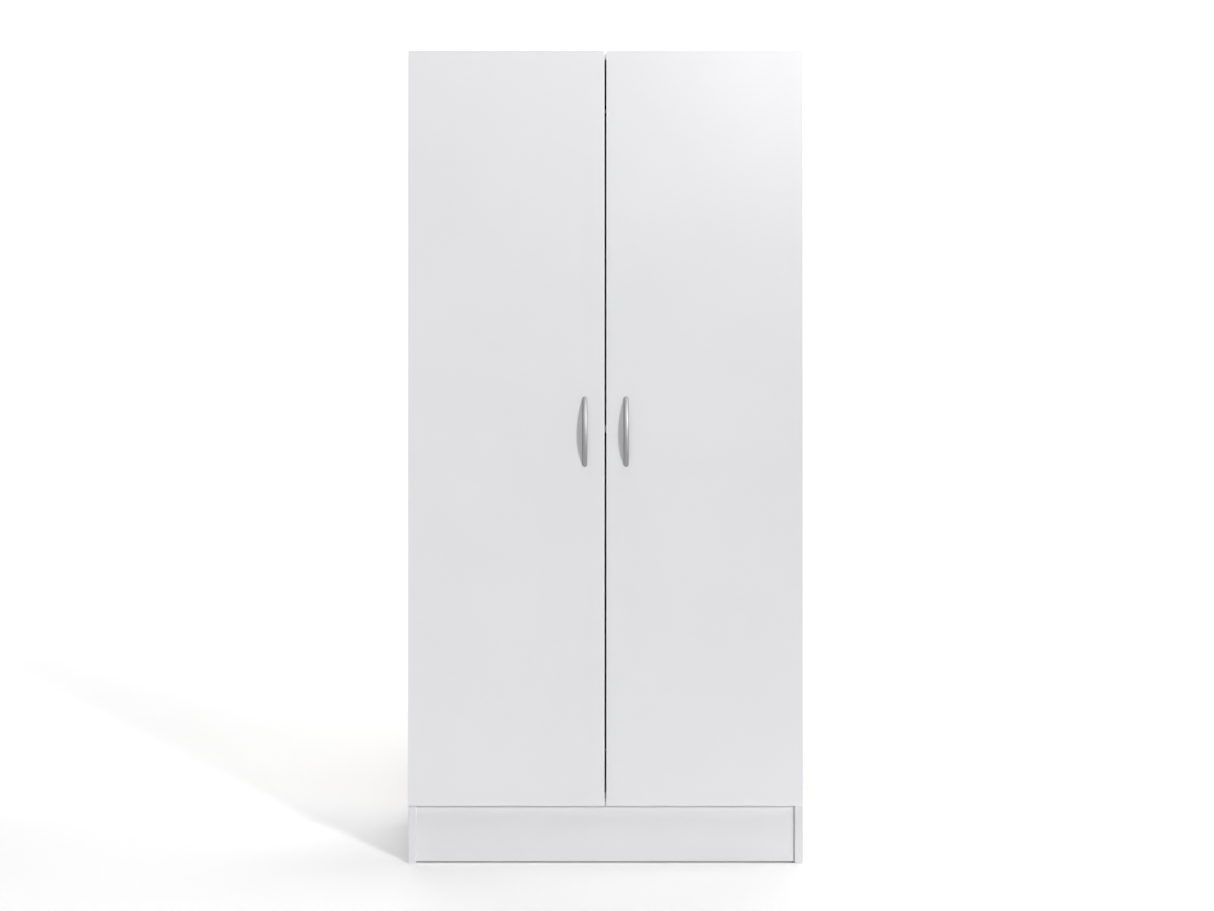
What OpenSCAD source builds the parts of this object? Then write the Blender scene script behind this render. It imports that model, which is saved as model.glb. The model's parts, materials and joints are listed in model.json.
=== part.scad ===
// Two-door wardrobe made of flat-pack boards.
// Millimetres, +Z up. The doors face -Y and +X is to the right seen from the front.
// Origin: on the floor, under the middle of the overall width and depth.

/* [Cabinet] */
// Overall width across the two side panels
cabinet_w = 900; // [700:10:1100]
// Overall height, floor to top
cabinet_h = 1850; // [1800:10:2000]
// Depth of the side panels with their front edging
cabinet_d = 476; // [420:2:580]
// Thickness of every board
board_t = 18; // [16:1:19]
// Thickness of the plastic edging strips
edging_t = 1; // [0.5:0.5:1.5]
// Thickness of the hardboard back
back_t = 3; // [2.5:0.5:4]

/* [Base] */
// Height of the underside of the bottom board
base_h = 144; // [100:2:160]
// Gap between the plinth board and the floor
plinth_lift = 3; // [2:1:15]
// How far the plinth board stands behind the side panels' front edges
plinth_recess = 6; // [0:1:20]

/* [Interior] */
// Height of the underside of the middle shelf
shelf_z = 982; // [920:2:1060]
// Diameter of the hanging rail
rail_d = 25; // [20:1:28]
// Distance from the top board down to the middle of the rail
rail_drop = 60; // [45:5:90]

/* [Doors] */
// Height of the doors' lower edge above the floor
door_z = 136.5; // [110:0.5:140]
// Margin of the doors inside the cabinet's outline, sides and top
door_reveal = 2; // [1:0.5:3]
// Gap between the two doors
middle_gap = 4.5; // [3:0.5:6]
// Gap between the doors' backs and the cabinet's front
door_gap = 3.5; // [3.5:0.1:4]
// Hinges on each door
hinge_count = 4; // [3:1:5]
// Distance of the end hinges from the doors' ends
hinge_end = 100; // [90:5:140]

/* [Handles] */
// Overall length of a handle
handle_len = 160; // [155:1:175]
// Distance between the two screws of a handle
handle_pitch = 128; // [116:1:130]
// Width of a handle seen from the front
handle_w = 12; // [11:0.5:16]
// How far a handle stands out from its door
handle_out = 20; // [20:1:27]
// Thickness of the bow
handle_t = 6; // [5.5:0.5:6.5]
// Distance of a handle's axis from the door's free edge
handle_inset = 44.5; // [35:0.5:70]
// Height of the middle of the handles
handle_z = 984; // [900:2:1100]

/* [Hidden] */
$fn = 48;
// Small overlap that makes cuts run clear through a face
cut = 1;
// Radial room around a fastener in its own hole
room = 0.1;

// Boards
half_w = cabinet_w / 2;
half_board = board_t / 2;
inner_half_w = half_w - board_t;
joiner_skin = 1;
total_d = handle_out + board_t + door_gap + cabinet_d + back_t + joiner_skin;
front_y = -total_d / 2 + handle_out + board_t + door_gap;
rear_y = front_y + cabinet_d;
top_z = cabinet_h - board_t;
floor_board_top = base_h + board_t;
shelf_setback = 3;
back_margin = 3;

// Doors, measured from the cabinet's front plane and outer side face
door_w = half_w - door_reveal - middle_gap / 2;
door_h = cabinet_h - door_reveal - door_z;
door_back = -door_gap;
door_face = door_back - board_t;

// Handle screws, driven from the back of the door
handle_screw_r = 1.95;
handle_screw_reach = 5.5;
handle_bore_r = 2.5;
handle_head_r = 4;
handle_head_t = 2.4;

// Cup hinges
cup_r = 17.5;
cup_wall = 0.8;
cup_depth = 12;
cup_edge = 3;
cup_x = door_reveal + cup_edge + cup_r;
flange_t = 1;
flange_r = 19.5;
flange_w = 16;
flange_l = 54;
cup_screw_dx = 9.5;
cup_screw_dz = 22.5;
pivot_in = 7;
pivot_x = door_reveal + pivot_in;
pivot_sink = 7.5;
pivot_y = door_back - pivot_sink;
pin_r = 1.25;
pin_half = 9.3;
running_room = 0.05;
knuckle_r = 2;
neck_t = 2.4;
neck_half = 5.2;
arm_half = 8.5;
arm_wall = 1.2;
arm_start = 6;
arm_end = 64;
arm_x = board_t + 4.5;
arm_clear = 2.2;
web_t = 1.5;
boss_h = 4.2;
boss_half = 6.8;
plate_t = 1.6;
wing_half = 26;
wing_w = 14;
plate_y = 37;
plate_screw_dz = 16;
plate_screw_r = 2.4;
plate_screw_l = 12;
plate_head_r = 4;
hinge_head_t = 1.8;
arm_screw_ys = [29, 55];
arm_screw_r = 2.2;
arm_head_r = 3.6;
cup_screw_r = 1.5;
cup_screw_l = 10;
cup_head_r = 3.2;
cup_head_t = 1.3;

// Joints between boards: bolt and cam lock, with a dowel beside them
joint_inset = 50;
dowel_inset = 82;
dowel_r = 4;
dowel_in_side = 10;
dowel_in_board = 22;
cam_s = 34;
cam_r = 7.4;
cam_h = 12.5;
cam_sink = 0.5;
cam_slot_half = 3.7;
cross_half = 3.5;
cross_w = 1.4;
cross_h = 2;
cap_r = 8.4;
cap_t = 0.8;
bolt_r = 3;
bolt_neck_r = 1.75;
bolt_neck_s = cam_s - 8;
bolt_head_s = cam_s - 5;
bolt_head_t = 2;
bolt_thread_r = 2.6;
bolt_bore_r = 4;
bolt_in_side = 10;

// Rail sockets, wall brackets and nails
socket_r = 24;
socket_base_t = 2.5;
socket_ring_r = 15;
socket_depth = 12;
socket_screw = 19;
rail_wall = 1.2;
bracket_l = 36;
bracket_w = 30;
bracket_t = 2;
bracket_screw_in = 22;
bracket_screw_dz = 8;
bracket_z = top_z - 60;
wall_hole_r = 3;
wall_clear_r = 6;
wall_hole_in = 22;
small_screw_r = 1.7;
small_head_r = 3.6;
small_head_t = 1.6;
small_screw_l = 14;
nail_r = 0.8;
nail_l = 18;
nail_head_r = 2;
nail_head_t = 0.5;
nails_up = 11;
nails_across = 6;

joint_zs = [base_h + half_board, shelf_z + half_board, top_z + half_board];
capped_zs = [shelf_z + half_board, top_z + half_board];
joint_ys = [joint_inset, cabinet_d - joint_inset];
dowel_ys = [dowel_inset, cabinet_d - dowel_inset];
plinth_h = base_h - plinth_lift;
plinth_mid_y = plinth_recess + half_board;
plinth_bolt_z = plinth_lift + 0.3 * plinth_h;
plinth_dowel_z = plinth_lift + 0.7 * plinth_h;
rail_y = cabinet_d / 2;
rail_z = top_z - rail_drop;
hinge_step = (door_h - 2 * hinge_end) / (hinge_count - 1);
hinge_zs = [for (i = [0 : hinge_count - 1]) door_z + hinge_end + i * hinge_step];
handle_x = half_w - middle_gap / 2 - handle_inset;

white = [0.93, 0.93, 0.94];
edge_white = [0.90, 0.90, 0.92];
board_brown = [0.62, 0.47, 0.32];
steel = [0.66, 0.67, 0.69];
nickel = [0.60, 0.60, 0.61];
chrome = [0.78, 0.79, 0.81];
beech = [0.80, 0.66, 0.46];
clear_grey = [0.85, 0.87, 0.88];

// ---- placing ----

// Left side: X runs inward from the outer side face, Y rearward from the cabinet's front
module on_left() {
  translate([-half_w, front_y, 0])
    children();
}

// Right side, the mirror image of the left side
module on_right() {
  mirror([1, 0, 0])
    on_left()
      children();
}

module on_both() {
  on_left()
    children();
  on_right()
    children();
}

// Cylinder along +X
module rod_x(r, l) {
  rotate([0, 90, 0])
    cylinder(r = r, h = l);
}

// Cylinder along +Y
module rod_y(r, l) {
  rotate([-90, 0, 0])
    cylinder(r = r, h = l);
}

// ---- joints between boards, drawn for the left side ----

module bolt_spots() {
  for (z = joint_zs)
    for (y = joint_ys)
      translate([board_t, y, z])
        children();
  translate([board_t, plinth_mid_y, plinth_bolt_z])
    children();
}

module dowel_spots() {
  for (z = joint_zs)
    for (y = dowel_ys)
      translate([board_t, y, z])
        children();
  translate([board_t, plinth_mid_y, plinth_dowel_z])
    children();
}

// Cam positions; the plinth's cams open to the rear, the others downward
module cam_spots() {
  for (z = joint_zs)
    for (y = joint_ys)
      translate([board_t + cam_s, y, z])
        children();
  translate([board_t + cam_s, plinth_mid_y, plinth_bolt_z])
    rotate([90, 0, 0])
      children();
}

module cam_bolt() {
  translate([-bolt_in_side, 0, 0])
    rod_x(bolt_thread_r, bolt_in_side);
  rod_x(bolt_r, bolt_neck_s);
  rod_x(bolt_neck_r, bolt_head_s);
  translate([bolt_head_s, 0, 0])
    rod_x(bolt_r, bolt_head_t);
}

module cam_lock() {
  translate([0, 0, -half_board + cam_sink])
    difference() {
      cylinder(r = cam_r, h = cam_h);
      translate([-cam_r - cut, -cam_slot_half, half_board - cam_sink - cam_slot_half])
        cube([cam_r + cut + 0.4, 2 * cam_slot_half, 2 * cam_slot_half]);
      translate([-cross_half, -cross_w / 2, -cut])
        cube([2 * cross_half, cross_w, cut + cross_h]);
      translate([-cross_w / 2, -cross_half, -cut])
        cube([cross_w, 2 * cross_half, cut + cross_h]);
    }
}

module cam_bore() {
  translate([0, 0, -half_board - cut])
    cylinder(r = cam_r + room, h = cut + cam_sink + cam_h + room);
}

module bolt_bore() {
  rod_x(bolt_bore_r, cam_s);
}

module joint_cuts_in_boards() {
  cam_spots()
    cam_bore();
  bolt_spots()
    bolt_bore();
  dowel_spots()
    translate([-cut, 0, 0])
      rod_x(dowel_r + room, dowel_in_board + cut + 1);
}

module joint_cuts_in_side() {
  bolt_spots()
    translate([-bolt_in_side - 1, 0, 0])
      rod_x(bolt_thread_r + room, bolt_in_side + 1 + cut);
  dowel_spots()
    translate([-dowel_in_side - 1, 0, 0])
      rod_x(dowel_r + room, dowel_in_side + 1 + cut);
}

// ---- nails of the back ----

module side_nail_spots() {
  nail_z0 = base_h + 30;
  nail_z1 = cabinet_h - 40;
  for (i = [0 : nails_up - 1])
    translate([half_board, cabinet_d, nail_z0 + i * (nail_z1 - nail_z0) / (nails_up - 1)])
      children();
}

module board_nail_spots() {
  nail_x0 = 60;
  nail_x1 = half_w - 30;
  for (z = [base_h + half_board, top_z + half_board])
    for (i = [0 : nails_across / 2 - 1])
      translate([nail_x0 + i * (nail_x1 - nail_x0) / (nails_across / 2 - 1), cabinet_d, z])
        children();
}

module nail() {
  translate([0, -nail_l + back_t, 0])
    rod_y(nail_r, nail_l);
  translate([0, back_t, 0])
    rod_y(nail_head_r, nail_head_t);
}

module nail_hole() {
  translate([0, -nail_l + back_t - 0.5, 0])
    rod_y(nail_r + room, nail_l + 0.5 + cut);
}

// ---- boards ----

module side_panel() {
  difference() {
    translate([0, edging_t, 0])
      cube([board_t, cabinet_d - edging_t, cabinet_h]);
    joint_cuts_in_side();
    side_nail_spots()
      nail_hole();
    plate_screw_spots()
      translate([board_t - plate_screw_l, 0, 0])
        rod_x(plate_screw_r + room, plate_screw_l + cut);
    rail_screw_spots()
      translate([board_t - small_screw_l, 0, 0])
        rod_x(small_screw_r + room, small_screw_l + cut);
    bracket_screw_spots()
      translate([board_t - small_screw_l, 0, 0])
        rod_x(small_screw_r + room, small_screw_l + cut);
  }
}

module side_edging() {
  cube([board_t, edging_t, cabinet_h]);
}

// A board between the side panels; back_gap leaves it short of the rear plane
module cross_board(z, back_gap) {
  difference() {
    translate([-inner_half_w, front_y + edging_t, z])
      cube([2 * inner_half_w, cabinet_d - edging_t - back_gap, board_t]);
    on_both()
      joint_cuts_in_boards();
    on_both()
      board_nail_spots()
        nail_hole();
  }
}

module cross_edging(z) {
  translate([-inner_half_w, front_y, z])
    cube([2 * inner_half_w, edging_t, board_t]);
}

module plinth_body() {
  difference() {
    translate([-inner_half_w, front_y + plinth_recess, plinth_lift])
      cube([2 * inner_half_w, board_t, plinth_h]);
    on_both()
      joint_cuts_in_boards();
  }
}

module back_half() {
  difference() {
    translate([back_margin, cabinet_d, base_h + back_margin])
      cube([half_w - back_margin - 1, back_t, cabinet_h - base_h - 2 * back_margin]);
    side_nail_spots()
      nail_hole();
    board_nail_spots()
      nail_hole();
    translate([board_t + wall_hole_in, cabinet_d - cut, bracket_z])
      rod_y(wall_clear_r, back_t + 2 * cut);
  }
}

// Strip with an H section that joins the two halves of the back
module joiner() {
  web = 1.6;
  skin_half = 9;
  strip_z = floor_board_top + 1;
  strip_h = top_z - floor_board_top - 2;
  translate([-web / 2, rear_y, strip_z])
    cube([web, back_t, strip_h]);
  for (y = [rear_y - joiner_skin, rear_y + back_t])
    translate([-skin_half, y, strip_z])
      cube([2 * skin_half, joiner_skin, strip_h]);
}

// ---- rail, wall brackets ----

module rail_tube() {
  end_play = 0.5;
  rail_half = inner_half_w - socket_base_t - end_play;
  translate([-rail_half, front_y + rail_y, rail_z])
    difference() {
      rod_x(rail_d / 2, 2 * rail_half);
      translate([-cut, 0, 0])
        rod_x(rail_d / 2 - rail_wall, 2 * rail_half + 2 * cut);
    }
}

module rail_screw_spots() {
  for (a = [-1, 1])
    translate([0, rail_y, rail_z + a * socket_screw])
      children();
}

module rail_socket() {
  difference() {
    translate([board_t, rail_y, rail_z])
      difference() {
        union() {
          rod_x(socket_r, socket_base_t);
          rod_x(socket_ring_r, socket_depth);
        }
        translate([socket_base_t, 0, 0])
          rod_x(rail_d / 2 + room, socket_depth);
      }
    rail_screw_spots()
      translate([board_t - cut, 0, 0])
        rod_x(small_screw_r + room, socket_base_t + 2 * cut);
  }
}

// Pan-head screw driven outward into a side panel; the head sits on a part of thickness t
module side_screw(t) {
  translate([board_t + t - small_screw_l, 0, 0])
    rod_x(small_screw_r, small_screw_l);
  translate([board_t + t, 0, 0])
    rod_x(small_head_r, small_head_t);
}

module bracket_screw_spots() {
  for (a = [-1, 1])
    translate([0, cabinet_d - bracket_screw_in, bracket_z + a * bracket_screw_dz])
      children();
}

module wall_bracket() {
  difference() {
    union() {
      translate([board_t, cabinet_d - bracket_l, bracket_z - bracket_w / 2])
        cube([bracket_t, bracket_l, bracket_w]);
      translate([board_t, cabinet_d - bracket_t, bracket_z - bracket_w / 2])
        cube([bracket_l, bracket_t, bracket_w]);
    }
    bracket_screw_spots()
      translate([board_t - cut, 0, 0])
        rod_x(small_screw_r + room, bracket_t + 2 * cut);
    translate([board_t + wall_hole_in, cabinet_d - bracket_t - cut, bracket_z])
      rod_y(wall_hole_r, bracket_t + 2 * cut);
  }
}

// ---- hinges, fixed side ----

module hinge_spots() {
  for (z = hinge_zs)
    translate([0, 0, z])
      children();
}

module plate_screw_spots() {
  hinge_spots()
    for (a = [-1, 1])
      translate([0, plate_y, a * plate_screw_dz])
        children();
}

module arm_screw_spots() {
  hinge_spots()
    for (y = arm_screw_ys)
      translate([0, y, 0])
        children();
}

module hinge_plate() {
  difference() {
    union() {
      translate([board_t, plate_y - wing_w / 2, -wing_half])
        cube([plate_t, wing_w, 2 * wing_half]);
      translate([board_t, arm_screw_ys[0] - 7, -boss_half])
        cube([boss_h, arm_screw_ys[1] - arm_screw_ys[0] + 14, 2 * boss_half]);
    }
    for (a = [-1, 1])
      translate([board_t - cut, plate_y, a * plate_screw_dz])
        rod_x(plate_screw_r + room, plate_t + 2 * cut);
    for (y = arm_screw_ys)
      translate([board_t + 0.5, y, 0])
        rod_x(arm_screw_r + room, boss_h + cut);
  }
}

module plate_screw() {
  translate([board_t + plate_t - plate_screw_l, 0, 0])
    rod_x(plate_screw_r, plate_screw_l);
  translate([board_t + plate_t, 0, 0])
    rod_x(plate_head_r, hinge_head_t);
}

module arm_screw() {
  translate([board_t + 1, 0, 0])
    rod_x(arm_screw_r, arm_x + neck_t - board_t - 1);
  translate([arm_x + neck_t, 0, 0])
    rod_x(arm_head_r, hinge_head_t);
}

// Channel over the plate, leg out through the front, neck into the cup, knuckle on the pin
module hinge_arm() {
  neck_end = arm_x + neck_t;
  difference() {
    union() {
      translate([pivot_x, pivot_y, -neck_half])
        cylinder(r = knuckle_r, h = 2 * neck_half);
      translate([pivot_x, pivot_y - neck_t / 2, -neck_half])
        cube([neck_end - pivot_x, neck_t, 2 * neck_half]);
      translate([arm_x, pivot_y - neck_t / 2, -neck_half])
        cube([neck_t, arm_start - pivot_y + neck_t / 2 + 2, 2 * neck_half]);
      translate([neck_end - web_t, arm_start, -arm_half])
        cube([web_t, arm_end - arm_start, 2 * arm_half]);
      for (a = [-1, 1])
        translate([board_t + arm_clear, arm_start, a * (arm_half - arm_wall / 2) - arm_wall / 2])
          cube([neck_end - board_t - arm_clear, arm_end - arm_start, arm_wall]);
    }
    translate([pivot_x, pivot_y, -neck_half - cut])
      cylinder(r = pin_r + running_room, h = 2 * (neck_half + cut));
    for (y = arm_screw_ys)
      translate([board_t, y, 0])
        rod_x(arm_screw_r + room, neck_end - board_t + cut);
  }
}

// ---- doors, drawn for the left side ----

module door_panel() {
  difference() {
    translate([door_reveal + edging_t, door_face, door_z + edging_t])
      cube([door_w - 2 * edging_t, board_t, door_h - 2 * edging_t]);
    hinge_spots()
      translate([cup_x, door_back - cup_depth - room, 0])
        rod_y(cup_r + room, cup_depth + room + cut);
    cup_screw_spots()
      translate([0, -cup_screw_l - 1, 0])
        rod_y(cup_screw_r + room, cup_screw_l + 1 + cut);
    handle_screw_spots()
      translate([0, door_face - cut, 0])
        rod_y(handle_bore_r, board_t + 2 * cut);
  }
}

module door_edging() {
  difference() {
    translate([door_reveal, door_face, door_z])
      cube([door_w, board_t, door_h]);
    translate([door_reveal + edging_t, door_face - cut, door_z + edging_t])
      cube([door_w - 2 * edging_t, board_t + 2 * cut, door_h - 2 * edging_t]);
  }
}

module handle_screw_spots() {
  for (a = [-1, 1])
    translate([handle_x, 0, handle_z + a * handle_pitch / 2])
      children();
}

// Pan-head machine screw from the back of the door into the handle's foot
module handle_screw() {
  translate([0, door_face - handle_screw_reach, 0])
    rod_y(handle_screw_r, board_t + handle_screw_reach);
  translate([0, door_back, 0])
    rod_y(handle_head_r, handle_head_t);
}

// Rounded outline of the handle seen from the front
module handle_outline() {
  end_z = handle_len / 2 - handle_w / 2;
  translate([-handle_w / 2, -handle_out - cut, -end_z])
    cube([handle_w, handle_out + cut, 2 * end_z]);
  for (a = [-1, 1])
    translate([0, -handle_out - cut, a * end_z])
      rod_y(handle_w / 2, handle_out + cut);
}

// Curved band of even thickness, wider than the handle
module handle_bow() {
  half_l = handle_len / 2;
  arc_r = (half_l * half_l + handle_out * handle_out) / (2 * handle_out);
  translate([-handle_w, arc_r - handle_out, 0])
    difference() {
      rod_x(arc_r, 2 * handle_w, $fn = 360);
      translate([-cut, 0, 0])
        rod_x(arc_r - handle_t, 2 * (handle_w + cut), $fn = 360);
    }
}

module handle() {
  foot_r = 5.5;
  foot_h = 4.6;
  hole_depth = handle_screw_reach + 0.2;
  translate([handle_x, door_face, handle_z])
    difference() {
      intersection() {
        handle_outline();
        union() {
          handle_bow();
          for (a = [-1, 1])
            translate([0, -foot_h, a * handle_pitch / 2])
              rod_y(foot_r, foot_h);
        }
      }
      for (a = [-1, 1])
        translate([0, -hole_depth, a * handle_pitch / 2])
          rod_y(handle_screw_r + room, hole_depth + cut);
    }
}

module cup_screw_spots() {
  hinge_spots()
    for (a = [-1, 1])
      translate([cup_x + cup_screw_dx, door_back, a * cup_screw_dz])
        children();
}

module hinge_cup() {
  difference() {
    union() {
      translate([cup_x, door_back - cup_depth, 0])
        rod_y(cup_r, cup_depth);
      translate([cup_x, door_back, 0])
        rod_y(flange_r, flange_t);
      translate([cup_x + 1.5, door_back, -flange_l / 2])
        cube([flange_w, flange_t, flange_l]);
    }
    translate([cup_x, door_back - cup_depth + cup_wall, 0])
      rod_y(cup_r - cup_wall, cup_depth + flange_t + cut);
    translate([pivot_x, pivot_y, -cup_r])
      cylinder(r = pin_r + running_room, h = 2 * cup_r);
    for (a = [-1, 1])
      translate([cup_x + cup_screw_dx, door_back - cut, a * cup_screw_dz])
        rod_y(cup_screw_r + room, flange_t + 2 * cut);
  }
}

module cup_screw() {
  translate([0, -cup_screw_l, 0])
    rod_y(cup_screw_r, cup_screw_l + flange_t);
  translate([0, flange_t, 0])
    rod_y(cup_head_r, cup_head_t);
}

module hinge_pin() {
  translate([pivot_x, pivot_y, -pin_half])
    cylinder(r = pin_r, h = 2 * pin_half);
}

// Soft buffers where the doors meet the bottom and top boards
module bumpers() {
  bumper_r = 4;
  bumper_inset = 20;
  bumper_play = 0.2;
  for (z = [base_h + half_board, top_z + half_board])
    translate([door_reveal + door_w - bumper_inset, door_back, z])
      rod_y(bumper_r, door_gap - bumper_play);
}

// ---- named parts ----

module side_panel_left() { color(white) on_left() side_panel(); }
module side_panel_right() { color(white) on_right() side_panel(); }
module side_edging_left() { color(edge_white) on_left() side_edging(); }
module side_edging_right() { color(edge_white) on_right() side_edging(); }
module top_panel() { color(white) cross_board(top_z, 0); }
module top_edging() { color(edge_white) cross_edging(top_z); }
module bottom_panel() { color(white) cross_board(base_h, 0); }
module bottom_edging() { color(edge_white) cross_edging(base_h); }
module mid_shelf() { color(white) cross_board(shelf_z, shelf_setback); }
module shelf_edging() { color(edge_white) cross_edging(shelf_z); }
module plinth_board() { color(white) plinth_body(); }
module back_panel_left() { color(board_brown) on_left() back_half(); }
module back_panel_right() { color(board_brown) on_right() back_half(); }
module back_joiner() { color(edge_white) joiner(); }

module back_nails() {
  color(steel)
    on_both() {
      side_nail_spots()
        nail();
      board_nail_spots()
        nail();
    }
}

module cam_locks() { color(steel) on_both() cam_spots() cam_lock(); }
module cam_bolts() { color(steel) on_both() bolt_spots() cam_bolt(); }

module dowels() {
  color(beech)
    on_both()
      dowel_spots()
        translate([-dowel_in_side, 0, 0])
          rod_x(dowel_r, dowel_in_side + dowel_in_board);
}

module cam_caps() {
  color(edge_white)
    on_both()
      for (z = capped_zs)
        for (y = joint_ys)
          translate([board_t + cam_s, y, z - half_board - cap_t])
            cylinder(r = cap_r, h = cap_t);
}

module hanging_rail() { color(chrome) rail_tube(); }
module rail_socket_left() { color(chrome) on_left() rail_socket(); }
module rail_socket_right() { color(chrome) on_right() rail_socket(); }

module rail_screws() {
  color(steel)
    on_both()
      rail_screw_spots()
        side_screw(socket_base_t);
}

module wall_bracket_left() { color(steel) on_left() wall_bracket(); }
module wall_bracket_right() { color(steel) on_right() wall_bracket(); }

module bracket_screws() {
  color(steel)
    on_both()
      bracket_screw_spots()
        side_screw(bracket_t);
}

module hinge_plates_left() { color(nickel) on_left() hinge_spots() hinge_plate(); }
module hinge_plates_right() { color(nickel) on_right() hinge_spots() hinge_plate(); }
module plate_screws() { color(steel) on_both() plate_screw_spots() plate_screw(); }
module hinge_arms_left() { color(nickel) on_left() hinge_spots() hinge_arm(); }
module hinge_arms_right() { color(nickel) on_right() hinge_spots() hinge_arm(); }
module arm_screws() { color(steel) on_both() arm_screw_spots() arm_screw(); }

module door_panel_left() { color(white) on_left() door_panel(); }
module door_edging_left() { color(edge_white) on_left() door_edging(); }
module handle_left() { color(nickel) on_left() handle(); }
module handle_screws_left() { color(steel) on_left() handle_screw_spots() handle_screw(); }
module hinge_cups_left() { color(nickel) on_left() hinge_spots() hinge_cup(); }
module cup_screws_left() { color(steel) on_left() cup_screw_spots() cup_screw(); }
module hinge_pins_left() { color(steel) on_left() hinge_spots() hinge_pin(); }
module door_bumpers_left() { color(clear_grey) on_left() bumpers(); }

module door_panel_right() { color(white) on_right() door_panel(); }
module door_edging_right() { color(edge_white) on_right() door_edging(); }
module handle_right() { color(nickel) on_right() handle(); }
module handle_screws_right() { color(steel) on_right() handle_screw_spots() handle_screw(); }
module hinge_cups_right() { color(nickel) on_right() hinge_spots() hinge_cup(); }
module cup_screws_right() { color(steel) on_right() cup_screw_spots() cup_screw(); }
module hinge_pins_right() { color(steel) on_right() hinge_spots() hinge_pin(); }
module door_bumpers_right() { color(clear_grey) on_right() bumpers(); }

side_panel_left();
side_panel_right();
side_edging_left();
side_edging_right();
top_panel();
top_edging();
bottom_panel();
bottom_edging();
mid_shelf();
shelf_edging();
plinth_board();
back_panel_left();
back_panel_right();
back_joiner();
back_nails();
cam_locks();
cam_bolts();
dowels();
cam_caps();
hanging_rail();
rail_socket_left();
rail_socket_right();
rail_screws();
wall_bracket_left();
wall_bracket_right();
bracket_screws();
hinge_plates_left();
hinge_plates_right();
plate_screws();
hinge_arms_left();
hinge_arms_right();
arm_screws();
door_panel_left();
door_edging_left();
handle_left();
handle_screws_left();
hinge_cups_left();
cup_screws_left();
hinge_pins_left();
door_bumpers_left();
door_panel_right();
door_edging_right();
handle_right();
handle_screws_right();
hinge_cups_right();
cup_screws_right();
hinge_pins_right();
door_bumpers_right();
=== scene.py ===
import json
import math

import bmesh
import bpy
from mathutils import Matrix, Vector


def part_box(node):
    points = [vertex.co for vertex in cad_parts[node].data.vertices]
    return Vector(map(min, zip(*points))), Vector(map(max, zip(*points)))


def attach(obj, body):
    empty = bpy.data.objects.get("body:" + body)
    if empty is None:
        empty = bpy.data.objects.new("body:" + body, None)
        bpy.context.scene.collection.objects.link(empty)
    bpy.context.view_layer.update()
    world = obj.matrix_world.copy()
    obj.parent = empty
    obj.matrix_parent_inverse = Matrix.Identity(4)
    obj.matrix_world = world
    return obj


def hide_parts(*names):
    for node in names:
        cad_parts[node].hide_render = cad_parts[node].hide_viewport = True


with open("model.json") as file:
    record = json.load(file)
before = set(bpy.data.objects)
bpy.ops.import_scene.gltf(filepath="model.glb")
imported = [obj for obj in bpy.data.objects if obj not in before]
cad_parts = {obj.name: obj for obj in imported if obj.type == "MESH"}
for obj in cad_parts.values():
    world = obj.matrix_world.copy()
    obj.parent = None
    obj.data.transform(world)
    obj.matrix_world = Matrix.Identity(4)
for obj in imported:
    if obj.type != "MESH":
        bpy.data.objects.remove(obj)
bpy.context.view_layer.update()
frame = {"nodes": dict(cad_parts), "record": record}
NODES = frame["nodes"]
MM = 0.001

# ------------------------------------------------------------------ node helpers


def new_material(name):
    m = bpy.data.materials.new(name)
    m.use_nodes = True
    t = m.node_tree
    t.nodes.clear()
    out = t.nodes.new("ShaderNodeOutputMaterial")
    bsdf = t.nodes.new("ShaderNodeBsdfPrincipled")
    t.links.new(bsdf.outputs[0], out.inputs[0])
    return m, t, bsdf


def coords(t, scale=(1, 1, 1)):
    """Object coordinates in metres, stretched by scale."""
    tc = t.nodes.new("ShaderNodeTexCoord")
    mp = t.nodes.new("ShaderNodeMapping")
    mp.inputs["Scale"].default_value = scale
    t.links.new(tc.outputs["Object"], mp.inputs["Vector"])
    return mp.outputs["Vector"]


def noise(t, vec, scale, detail=3.0, rough=0.5, distortion=0.0):
    n = t.nodes.new("ShaderNodeTexNoise")
    n.inputs["Scale"].default_value = scale
    n.inputs["Detail"].default_value = detail
    n.inputs["Roughness"].default_value = rough
    n.inputs["Distortion"].default_value = distortion
    t.links.new(vec, n.inputs["Vector"])
    return n.outputs["Fac"]


def voronoi(t, vec, scale, randomness=1.0):
    v = t.nodes.new("ShaderNodeTexVoronoi")
    v.inputs["Scale"].default_value = scale
    v.inputs["Randomness"].default_value = randomness
    t.links.new(vec, v.inputs["Vector"])
    return v


def ramp(t, fac, stops):
    """Colour from fac by (position, colour) stops."""
    r = t.nodes.new("ShaderNodeValToRGB")
    els = r.color_ramp.elements
    while len(els) < len(stops):
        els.new(0.5)
    for e, (pos, col) in zip(els, stops):
        e.position = pos
        e.color = (*col, 1.0)
    t.links.new(fac, r.inputs["Fac"])
    return r.outputs["Color"]


def remap(t, fac, lo, hi, from_lo=0.3, from_hi=0.7):
    """Map from_lo..from_hi, where noise mostly lies, to lo..hi."""
    r = t.nodes.new("ShaderNodeMapRange")
    r.inputs["From Min"].default_value = from_lo
    r.inputs["From Max"].default_value = from_hi
    r.inputs["To Min"].default_value = lo
    r.inputs["To Max"].default_value = hi
    t.links.new(fac, r.inputs["Value"])
    return r.outputs["Result"]


def calc(t, op, a, b):
    n = t.nodes.new("ShaderNodeMath")
    n.operation = op
    for sock, v in zip(n.inputs, (a, b)):
        if isinstance(v, (int, float)):
            sock.default_value = v
        else:
            t.links.new(v, sock)
    return n.outputs[0]


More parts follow.
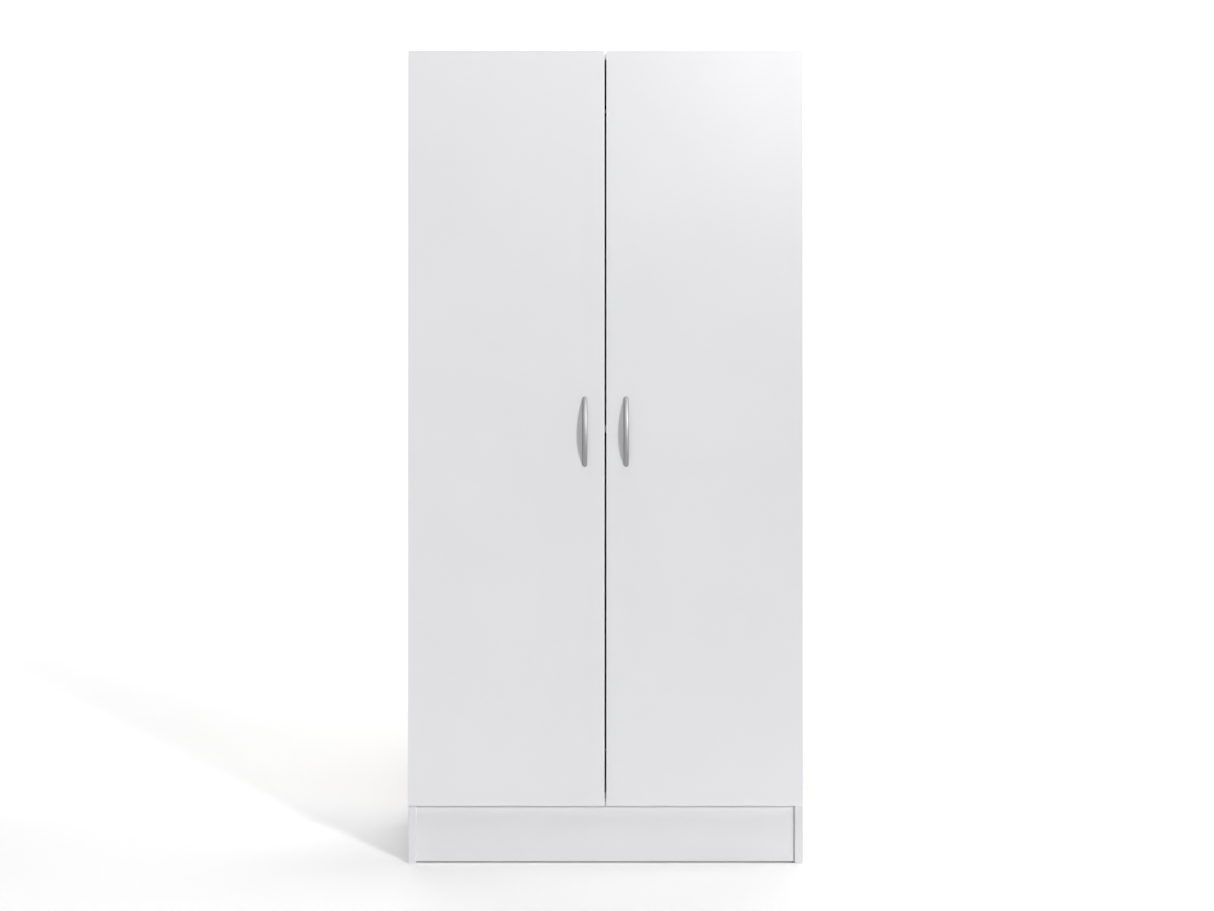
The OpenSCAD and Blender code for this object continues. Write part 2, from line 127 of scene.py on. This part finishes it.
def mix(t, fac, a, b):
    n = t.nodes.new("ShaderNodeMix")
    n.data_type = "RGBA"
    t.links.new(fac, n.inputs[0])
    for sock, v in ((n.inputs[6], a), (n.inputs[7], b)):
        if isinstance(v, (tuple, list)):
            sock.default_value = (*v, 1.0)
        else:
            t.links.new(v, sock)
    return n.outputs[2]


def bump(t, bsdf, height, strength, distance):
    """Relief of the surface itself; distance is its depth in metres."""
    b = t.nodes.new("ShaderNodeBump")
    b.inputs["Strength"].default_value = strength
    b.inputs["Distance"].default_value = distance
    t.links.new(height, b.inputs["Height"])
    t.links.new(b.outputs["Normal"], bsdf.inputs["Normal"])


def face_mask(t, axis, sign=0):
    """1 on faces whose own normal points along axis (0 X, 1 Y, 2 Z); sign 0 takes both ways."""
    tc = t.nodes.new("ShaderNodeTexCoord")
    sp = t.nodes.new("ShaderNodeSeparateXYZ")
    t.links.new(tc.outputs["Normal"], sp.inputs[0])
    v = sp.outputs[axis]
    if sign == 0:
        v = calc(t, "ABSOLUTE", v, 0.0)
    elif sign < 0:
        v = calc(t, "MULTIPLY", v, -1.0)
    return calc(t, "GREATER_THAN", v, 0.6)


# ------------------------------------------------------------------ materials


WHITE = (0.715, 0.715, 0.730)


def melamine_color(t, vec, base=WHITE):
    """White decor paper: an almost even tone with a very faint cloudiness."""
    cloud = noise(t, vec, 3.2, 2.0, 0.5)
    fleck = noise(t, vec, 1100.0, 1.0, 0.5)
    tone = calc(t, "ADD", remap(t, cloud, -0.5, 0.5), remap(t, fleck, -0.35, 0.35))
    lo = tuple(c * 0.972 for c in base)
    hi = tuple(min(1.0, c * 1.014) for c in base)
    return ramp(t, remap(t, tone, 0.0, 1.0, -0.85, 0.85), [(0.0, lo), (1.0, hi)])


def melamine_surface(t, bsdf, vec):
    """Pearl finish: tiny flattened grains, with slow waviness from the pressing plate."""
    grain = voronoi(t, vec, 950.0, 1.0).outputs["Distance"]
    fine = noise(t, vec, 2300.0, 2.0, 0.55)
    wave = noise(t, vec, 16.0, 1.0, 0.4)
    smear = noise(t, vec, 5.0, 4.0, 0.6, 0.6)
    h = calc(t, "ADD", calc(t, "MULTIPLY", grain, 0.55), calc(t, "MULTIPLY", fine, 0.3))
    h = calc(t, "ADD", h, calc(t, "MULTIPLY", wave, 0.9))
    bump(t, bsdf, h, 0.20, 0.00006)
    r = calc(t, "ADD", remap(t, smear, 0.30, 0.355), remap(t, fine, -0.015, 0.015))
    t.links.new(r, bsdf.inputs["Roughness"])
    bsdf.inputs["Specular IOR Level"].default_value = 0.5
    bsdf.inputs["IOR"].default_value = 1.5


def chipboard_color(t, vec):
    chips = voronoi(t, vec, 420.0, 1.0).outputs["Color"]
    sep = t.nodes.new("ShaderNodeSeparateColor")
    t.links.new(chips, sep.inputs[0])
    spread = noise(t, vec, 160.0, 4.0, 0.65)
    f = calc(t, "ADD", calc(t, "MULTIPLY", sep.outputs[0], 0.55), calc(t, "MULTIPLY", spread, 0.45))
    return ramp(t, f, [(0.1, (0.17, 0.10, 0.055)), (0.45, (0.40, 0.27, 0.15)), (0.9, (0.60, 0.46, 0.30))])


def board_material(name, raw_axis_sign=()):
    """White melamine on its faces; raw chipboard on the faces listed as (axis, sign)."""
    m, t, bsdf = new_material(name)
    vec = coords(t)
    color = melamine_color(t, vec)
    melamine_surface(t, bsdf, vec)
    if raw_axis_sign:
        mask = None
        for axis, sign in raw_axis_sign:
            one = face_mask(t, axis, sign)
            mask = one if mask is None else calc(t, "MAXIMUM", mask, one)
        color = mix(t, mask, color, chipboard_color(t, vec))
    t.links.new(color, bsdf.inputs["Base Color"])
    return m


def edging_material(name, base):
    """Extruded strip: fine lengthwise drawing lines and a satin face."""
    m, t, bsdf = new_material(name)
    vec = coords(t)
    cloud = noise(t, vec, 9.0, 2.0)
    shade = tuple(c * 0.975 for c in base)
    t.links.new(ramp(t, cloud, [(0.25, shade), (0.75, base)]), bsdf.inputs["Base Color"])
    streak = noise(t, coords(t, (900.0, 900.0, 6.0)), 1.0, 2.0)
    grain = noise(t, vec, 1600.0, 2.0)
    bump(t, bsdf, calc(t, "ADD", streak, calc(t, "MULTIPLY", grain, 0.6)), 0.12, 0.00005)
    t.links.new(remap(t, streak, 0.33, 0.42), bsdf.inputs["Roughness"])
    return m


def hardboard_material():
    """White-faced hardboard: lacquered inside, brown felted fibre behind."""
    m, t, bsdf = new_material("hardboard_back")
    vec = coords(t)
    fibre = noise(t, vec, 420.0, 6.0, 0.7, 1.2)
    blotch = noise(t, vec, 7.0, 3.0, 0.6)
    mesh = voronoi(t, vec, 700.0, 0.35).outputs["Distance"]
    brown = ramp(
        t,
        calc(t, "ADD", calc(t, "MULTIPLY", fibre, 0.7), calc(t, "MULTIPLY", blotch, 0.3)),
        [(0.25, (0.16, 0.085, 0.040)), (0.5, (0.29, 0.165, 0.085)), (0.8, (0.42, 0.26, 0.145))],
    )
    white = melamine_color(t, vec, (0.69, 0.69, 0.695))
    inside = face_mask(t, 1, -1)
    t.links.new(mix(t, inside, brown, white), bsdf.inputs["Base Color"])
    h = calc(t, "ADD", calc(t, "MULTIPLY", fibre, 0.8), calc(t, "MULTIPLY", mesh, 0.6))
    bump(t, bsdf, h, 0.45, 0.00018)
    t.links.new(calc(t, "SUBTRACT", 0.72, calc(t, "MULTIPLY", inside, 0.30)), bsdf.inputs["Roughness"])
    return m


def metal_material(name, color, rough, spread, grain=1400.0, strength=0.10, dirt=0.10):
    """Plated metal with tiny tool marks and slightly duller patches."""
    m, t, bsdf = new_material(name)
    vec = coords(t)
    patches = noise(t, vec, 60.0, 4.0, 0.6)
    lo = tuple(c * (1.0 - dirt) for c in color)
    t.links.new(ramp(t, patches, [(0.3, lo), (0.7, color)]), bsdf.inputs["Base Color"])
    bsdf.inputs["Metallic"].default_value = 1.0
    fine = noise(t, vec, grain, 3.0, 0.6)
    half = spread / 2
    r = calc(t, "ADD", remap(t, patches, rough - half, rough + half), remap(t, fine, -half, half))
    t.links.new(r, bsdf.inputs["Roughness"])
    bump(t, bsdf, fine, strength, 0.00004)
    return m


def plastic_material(name, color, rough=0.38):
    """Moulded plastic with a fine eroded grain."""
    m, t, bsdf = new_material(name)
    vec = coords(t)
    cloud = noise(t, vec, 25.0, 3.0)
    shade = tuple(c * 0.95 for c in color)
    t.links.new(ramp(t, cloud, [(0.3, shade), (0.7, color)]), bsdf.inputs["Base Color"])
    grain = noise(t, vec, 2200.0, 2.0)
    bump(t, bsdf, grain, 0.15, 0.00004)
    t.links.new(remap(t, grain, rough - 0.03, rough + 0.03), bsdf.inputs["Roughness"])
    return m


def beech_material():
    """Turned beech, its grain along X like the dowels."""
    m, t, bsdf = new_material("beech")
    vec = coords(t, (30.0, 600.0, 600.0))
    g = noise(t, vec, 1.0, 4.0, 0.6)
    color = ramp(t, g, [(0.3, (0.46, 0.31, 0.17)), (0.7, (0.66, 0.49, 0.31))])
    t.links.new(color, bsdf.inputs["Base Color"])
    bump(t, bsdf, g, 0.3, 0.0001)
    t.links.new(remap(t, g, 0.5, 0.62), bsdf.inputs["Roughness"])
    return m


def buffer_material():
    """Soft, slightly cloudy door bumpers."""
    m, t, bsdf = new_material("clear_buffer")
    vec = coords(t)
    g = noise(t, vec, 900.0, 2.0)
    color = ramp(t, g, [(0.3, (0.70, 0.73, 0.74)), (0.7, (0.78, 0.80, 0.81))])
    t.links.new(color, bsdf.inputs["Base Color"])
    t.links.new(remap(t, g, 0.12, 0.2), bsdf.inputs["Roughness"])
    bump(t, bsdf, g, 0.08, 0.00004)
    bsdf.inputs["Transmission Weight"].default_value = 0.35
    return m


MAT = {
    "side": board_material("melamine_side", ((1, 1), (2, -1))),
    "cross": board_material("melamine_cross", ((1, 1), (0, 0))),
    "plinth": board_material("melamine_plinth", ((0, 0), (2, -1))),
    "door": board_material("melamine_door"),
    "edging": edging_material("white_edging", (0.705, 0.705, 0.720)),
    # Edging painted much lighter than the side edging. This is painted light, standing in for the light that
    # falls into the gap between the doors and along the doors' edges.
    "painted_light_edging": edging_material("painted_light_edging", (0.91, 0.91, 0.92)),
    "hardboard": hardboard_material(),
    "hinge": metal_material("hinge_nickel", (0.60, 0.59, 0.57), 0.24, 0.08),
    "zinc": metal_material("zinc_plate", (0.58, 0.60, 0.63), 0.34, 0.10, dirt=0.18),
    "nickel": metal_material(
        "satin_nickel", (0.34, 0.34, 0.345), 0.53, 0.05, grain=2600.0, strength=0.06, dirt=0.04
    ),
    "chrome": metal_material("polished_chrome", (0.50, 0.51, 0.52), 0.11, 0.04, strength=0.03, dirt=0.04),
    "beech": beech_material(),
    "buffer": buffer_material(),
    "plastic": plastic_material("white_plastic", (0.78, 0.78, 0.78)),
}


def give(obj, mat):
    """Make mat the only material of obj."""
    obj.data.materials.clear()
    obj.data.materials.append(mat)


SLOT_OF = {part["node"]: part["material_slot"] for part in frame["record"]["subparts"]}
LOOK_OF_SLOT = {
    "white_edging": "edging",
    "hardboard": "hardboard",
    "hinge_steel": "hinge",
    "zinc_steel": "zinc",
    "satin_nickel": "nickel",
    "chrome_plate": "chrome",
    "beech": "beech",
    "clear_buffer": "buffer",
    "white_plastic": "plastic",
}


def material_for(name):
    """Boards differ in which of their faces show raw chipboard; the rest go by their slot."""
    if name.startswith("side_panel"):
        return MAT["side"]
    if name in ("top_panel", "bottom_panel", "mid_shelf"):
        return MAT["cross"]
    if name == "plinth_board":
        return MAT["plinth"]
    if name.startswith("door_panel"):
        return MAT["door"]
    return MAT[LOOK_OF_SLOT[SLOT_OF[name]]]


for name, obj in NODES.items():
    give(obj, material_for(name))

# Width of the broken edges in millimetres, by the start of the node's name
BEVELS = {
    "hinge_": 0.25,
    "rail_socket": 0.4,
    "wall_bracket": 0.3,
    "plate_screws": 0.3,
    "arm_screws": 0.3,
    "rail_screws": 0.3,
    "bracket_screws": 0.3,
    "cup_screws": 0.25,
    "handle_screws": 0.3,
    "cam_": 0.2,
    "back_joiner": 0.25,
    "back_panel": 0.2,
}
SHARP_EDGE = math.radians(50)


def break_edges(obj, width):
    b = obj.modifiers.new("edge", "BEVEL")
    b.width = width
    b.segments = 2
    b.limit_method = "ANGLE"
    b.angle_limit = SHARP_EDGE
    b.harden_normals = False


for name, obj in NODES.items():
    for start, width in BEVELS.items():
        if name.startswith(start):
            break_edges(obj, width * MM)
            break

# ------------------------------------------------------------------ mesh helpers


def mesh_object(name, verts, faces, mat, smooth_angle=None):
    """New linked mesh; faces that meet at less than smooth_angle degrees are shaded smooth."""
    me = bpy.data.meshes.new(name)
    me.from_pydata([tuple(v) for v in verts], [], faces)
    me.validate()
    me.update()
    o = bpy.data.objects.new(name, me)
    bpy.context.scene.collection.objects.link(o)
    give(o, mat)
    if smooth_angle is not None:
        for p in me.polygons:
            p.use_smooth = True
        bpy.context.view_layer.objects.active = o
        for s in bpy.context.selected_objects:
            s.select_set(False)
        o.select_set(True)
        bpy.ops.object.shade_smooth_by_angle(angle=math.radians(smooth_angle))
        o.select_set(False)
    return o


ROUND_STEPS = 6
STRIP_SMOOTH = 40
STRIP_RADIUS = 0.7 * MM
BAND_RADIUS = 0.8 * MM


def rounded_end(width, thick, r):
    """Cross-section of an edging strip: flat back at 0, front at thick, front corners rounded by r."""
    pts = [(0.0, 0.0)]
    for i in range(ROUND_STEPS + 1):
        a = math.radians(180 - 90 * i / ROUND_STEPS)
        pts.append((r + r * math.cos(a), thick - r + r * math.sin(a)))
    for i in range(ROUND_STEPS + 1):
        a = math.radians(90 - 90 * i / ROUND_STEPS)
        pts.append((width - r + r * math.cos(a), thick - r + r * math.sin(a)))
    pts.append((width, 0.0))
    return pts


def strip_along(name, lo, hi, axis, radius, mat):
    """Edging on a board's front: the box lo..hi with rounded front edges, along axis (0 X or 2 Z)."""
    across = 2 if axis == 0 else 0
    section = rounded_end(hi[across] - lo[across], hi[1] - lo[1], radius)
    n = len(section)
    verts = []
    for end in (lo[axis], hi[axis]):
        for a, b in section:
            p = [0.0, hi[1] - b, 0.0]
            p[across] = lo[across] + a
            p[axis] = end
            verts.append(p)
    faces = [[i, (i + 1) % n, n + (i + 1) % n, n + i] for i in range(n)]
    faces += [list(range(n))[::-1], list(range(n, 2 * n))]
    return fix_normals(mesh_object(name, verts, faces, mat, STRIP_SMOOTH))


def fix_normals(o):
    """Turn every face outward."""
    bm = bmesh.new()
    bm.from_mesh(o.data)
    bmesh.ops.recalc_face_normals(bm, faces=bm.faces)
    bm.to_mesh(o.data)
    bm.free()
    return o


def door_band(name, outer, inner, mat, radius):
    """Edging round a door: a mitred frame between two boxes, its outer long edges rounded."""
    (x0, y0, z0), (x1, y1, z1) = outer
    t = inner[0][0] - x0
    sect = [(0.0, y0)]
    for i in range(ROUND_STEPS + 1):
        a = math.radians(90 * i / ROUND_STEPS)
        sect.append((t - radius + radius * math.sin(a), y0 + radius - radius * math.cos(a)))
    for i in range(ROUND_STEPS + 1):
        a = math.radians(90 * i / ROUND_STEPS)
        sect.append((t - radius + radius * math.cos(a), y1 - radius + radius * math.sin(a)))
    sect.append((0.0, y1))
    cx, cz = (x0 + x1) / 2, (z0 + z1) / 2
    hx, hz = (x1 - x0) / 2 - t, (z1 - z0) / 2 - t
    n = len(sect)
    verts = []
    for sx, sz in ((-1, -1), (1, -1), (1, 1), (-1, 1)):
        for out, y in sect:
            verts.append((cx + sx * (hx + out), y, cz + sz * (hz + out)))
    faces = []
    for c in range(4):
        d = (c + 1) % 4
        for i in range(n):
            j = (i + 1) % n
            faces.append([c * n + i, c * n + j, d * n + j, d * n + i])
    return fix_normals(mesh_object(name, verts, faces, mat, STRIP_SMOOTH))


# ------------------------------------------------------------------ edging

for side in ("left", "right"):
    node = "door_edging_" + side
    panel = "door_panel_" + side
    # The door bands take the edging painted lighter, which gives painted highlight lines along the gap
    # between the doors.
    band = door_band("door_band_" + side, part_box(node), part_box(panel), MAT["painted_light_edging"], BAND_RADIUS)
    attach(band, "door_%s_body" % side)
    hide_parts(node)

# Axis along which each strip runs: 2 upright, 0 across
STRIP_AXES = {
    "side_edging_left": 2,
    "side_edging_right": 2,
    "top_edging": 0,
    "bottom_edging": 0,
    "shelf_edging": 0,
}
for node, axis in STRIP_AXES.items():
    lo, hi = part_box(node)
    # The crossways strips show through the gap between the doors. They take the edging painted lighter, as
    # painted light in that gap.
    mat = MAT["edging"] if axis == 2 else MAT["painted_light_edging"]
    strip = strip_along(node + "_strip", lo, hi, axis, STRIP_RADIUS, mat)
    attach(strip, "carcass")
    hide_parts(node)

# ------------------------------------------------------------------ handles


BOW_THICK = 6.4 * MM
THINNEST = 0.15 * MM
FOOT_SOLID = 10.8 * MM
FOOT_FLARE = 11.25 * MM
END_WIDTH = 0.93
FULL_WIDTH_FROM = 0.6
TIP_WIDTH = 0.015
TIP_INSET = 0.9995
BOW_STATIONS = 97
RING_POINTS = 40
RING_POWER = 0.80
BOW_SMOOTH = 60


def bow_section(z, half_l, half_w, out):
    """Half width, underside and top of the bow at height z from its middle, measured from the door."""
    arc_r = (half_l ** 2 + out ** 2) / (2 * out)
    sink = arc_r - out
    inner_r = arc_r - BOW_THICK
    end = half_l - abs(z)
    top = math.sqrt(arc_r ** 2 - z ** 2) - sink
    under = max(0.0, math.sqrt(inner_r ** 2 - min(z * z, inner_r ** 2 * 0.99)) - sink)
    rise = min(1.0, max(0.0, (end - FOOT_SOLID) / FOOT_FLARE))
    base = under * rise * rise * (3 - 2 * rise)
    w = half_w * (END_WIDTH + (1 - END_WIDTH) * min(1.0, end / (FULL_WIDTH_FROM * half_l)))
    if end < half_w:
        tip = math.sqrt(max(0.0, 1 - ((half_w - end) / half_w) ** 2))
        w *= tip * (1 - TIP_WIDTH) + TIP_WIDTH
    return w, base, max(top, base + THINNEST)


def bow_handle(name, node, mat):
    """Die-cast bow: an arc with a full rounded section, feet that flare onto the door, rounded ends."""
    lo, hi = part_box(node)
    cx, cz, door_y = (lo.x + hi.x) / 2, (lo.z + hi.z) / 2, hi.y
    half_l, out, half_w = (hi.z - lo.z) / 2, hi.y - lo.y, (hi.x - lo.x) / 2
    verts = []
    for k in range(BOW_STATIONS):
        u = -1 + 2 * k / (BOW_STATIONS - 1)
        z = half_l * math.sin(u * math.pi / 2) * TIP_INSET
        w, base, top = bow_section(z, half_l, half_w, out)
        mid, half_t = (top + base) / 2, (top - base) / 2
        for i in range(RING_POINTS):
            a = 2 * math.pi * i / RING_POINTS
            c, s = math.cos(a), math.sin(a)
            x = w * math.copysign(abs(c) ** RING_POWER, c)
            h = mid + half_t * math.copysign(abs(s) ** RING_POWER, s)
            verts.append((cx + x, door_y - h, cz + z))
    n = RING_POINTS
    faces = []
    for k in range(BOW_STATIONS - 1):
        for i in range(n):
            j = (i + 1) % n
            faces.append([k * n + i, k * n + j, (k + 1) * n + j, (k + 1) * n + i])
    faces.append(list(range(n))[::-1])
    faces.append([(BOW_STATIONS - 1) * n + i for i in range(n)])
    return fix_normals(mesh_object(name, verts, faces, mat, BOW_SMOOTH))


for side in ("left", "right"):
    node = "handle_" + side
    h = bow_handle("bow_handle_" + side, node, MAT["nickel"])
    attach(h, "door_%s_body" % side)
    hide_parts(node)

# ------------------------------------------------------------------ studio


def stage_sweep():
    """Seamless pale studio paper: floor, curve and backdrop in one sheet."""
    m, t, bsdf = new_material("studio_paper")
    n = noise(t, coords(t), 2.0, 2.0)
    color = ramp(t, n, [(0.3, (0.908, 0.908, 0.908)), (0.7, (0.916, 0.916, 0.916))])
    t.links.new(color, bsdf.inputs["Base Color"])
    bsdf.inputs["Roughness"].default_value = 0.9
    bsdf.inputs["Specular IOR Level"].default_value = 0.2
    half_width = 14.0
    front = -10.0
    back = 8.0
    height = 12.0
    curve_r = 3.0
    curve_steps = 24
    prof = [(front, 0.0), (back - curve_r, 0.0)]
    for i in range(1, curve_steps + 1):
        a = math.radians(90 * i / curve_steps)
        prof.append((back - curve_r + curve_r * math.sin(a), curve_r - curve_r * math.cos(a)))
    prof.append((back, height))
    verts = [(x, y, z) for x in (-half_width, half_width) for y, z in prof]
    n = len(prof)
    faces = [[i, n + i, n + i + 1, i + 1] for i in range(n - 1)]
    o = mesh_object("studio_sweep", verts, faces, m)
    for p in o.data.polygons:
        p.use_smooth = True


stage_sweep()


def studio_world(color, strength):
    """Even surroundings that show only in reflections and to the camera."""
    world = bpy.data.worlds.new("studio")
    world.use_nodes = True
    background = world.node_tree.nodes["Background"]
    background.inputs["Color"].default_value = (*color, 1)
    background.inputs["Strength"].default_value = strength
    bpy.context.scene.world = world
    world.cycles_visibility.diffuse = False


studio_world((0.985, 0.985, 1.0), 0.60)


def place_light(data, place, target):
    o = bpy.data.objects.new(data.name, data)
    o.location = place
    o.rotation_euler = (Vector(target) - Vector(place)).to_track_quat("-Z", "Y").to_euler()
    bpy.context.scene.collection.objects.link(o)
    return o


def sun_light(name, place, target, energy, angle):
    """Far key light, so that it falls evenly over both doors."""
    d = bpy.data.lights.new(name, "SUN")
    d.energy = energy
    d.angle = math.radians(angle)
    return place_light(d, place, target)


def area_light(name, place, target, size, power, size_y=None):
    d = bpy.data.lights.new(name, "AREA")
    d.energy = power
    d.shape = "RECTANGLE"
    d.size = size
    d.size_y = size_y or size
    return place_light(d, place, target)


DOOR_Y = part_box("door_panel_left")[0].y
FRONT = (0.0, DOOR_Y, 0.98)

sun_light("key", (7.3, DOOR_Y - 10.0, 4.9), FRONT, 1.88, 6.5)

# From the right, level with the cabinet: they miss the doors and cut the floor shadow off at its back
area_light("side", (4.5, 0.0, 1.9), (0.0, 0.0, 0.4), 0.8, 9)
area_light("side_high", (3.5, 0.3, 4.0), (-0.3, 0.3, 0.0), 0.9, 34)

# From above: the paper behind, and the floor in front of the doors
area_light("overhead", (0.9, 1.0, 5.5), (-0.6, 0.6, 0.0), 5.0, 95)
area_light("backdrop_wash", (0.0, 4.2, 6.5), (0.0, 8.0, 2.0), 8.0, 440, size_y=1.5)
front_lights = [
    area_light(
        "overhead_front", (-0.7, DOOR_Y - 2.2, 5.5), (-0.9, DOOR_Y - 1.6, 0.0), 1.4, 94, size_y=3.0
    ),
    area_light("top_front", (0.0, DOOR_Y - 1.3, 4.2), (0.0, DOOR_Y - 1.0, 0.0), 0.6, 28, size_y=2.0),
]
for light in front_lights:
    light.visible_glossy = False

# Lifts the floor at the foot of the left side panel
base_fill = area_light("base_fill", (-1.9, 0.0, 2.4), (-0.50, 0.05, 0.0), 0.3, 0.08)
base_fill.data.spread = math.radians(40)

# Seen only as the sheen at the top of the right door
sheen = area_light("sheen", (1.2, DOOR_Y - 3.4, 3.05), (0.0, DOOR_Y, 1.5), 1.5, 60)
sheen.visible_diffuse = False

# ------------------------------------------------------------------ camera

CAMERA_DISTANCE = 3.30
CAMERA_HEIGHT = 0.930
CAMERA_SIDE = 0.0035

cam_d = bpy.data.cameras.new("camera")
cam_d.sensor_width = 36.0
cam_d.lens = 43.2
cam = bpy.data.objects.new("camera", cam_d)
cam.location = (CAMERA_SIDE, DOOR_Y - CAMERA_DISTANCE, CAMERA_HEIGHT)
cam.rotation_euler = (math.radians(90), 0, 0)
bpy.context.scene.collection.objects.link(cam)
bpy.context.scene.camera = cam

bpy.context.scene.view_settings.view_transform = "Standard"
bpy.context.scene.view_settings.look = "None"
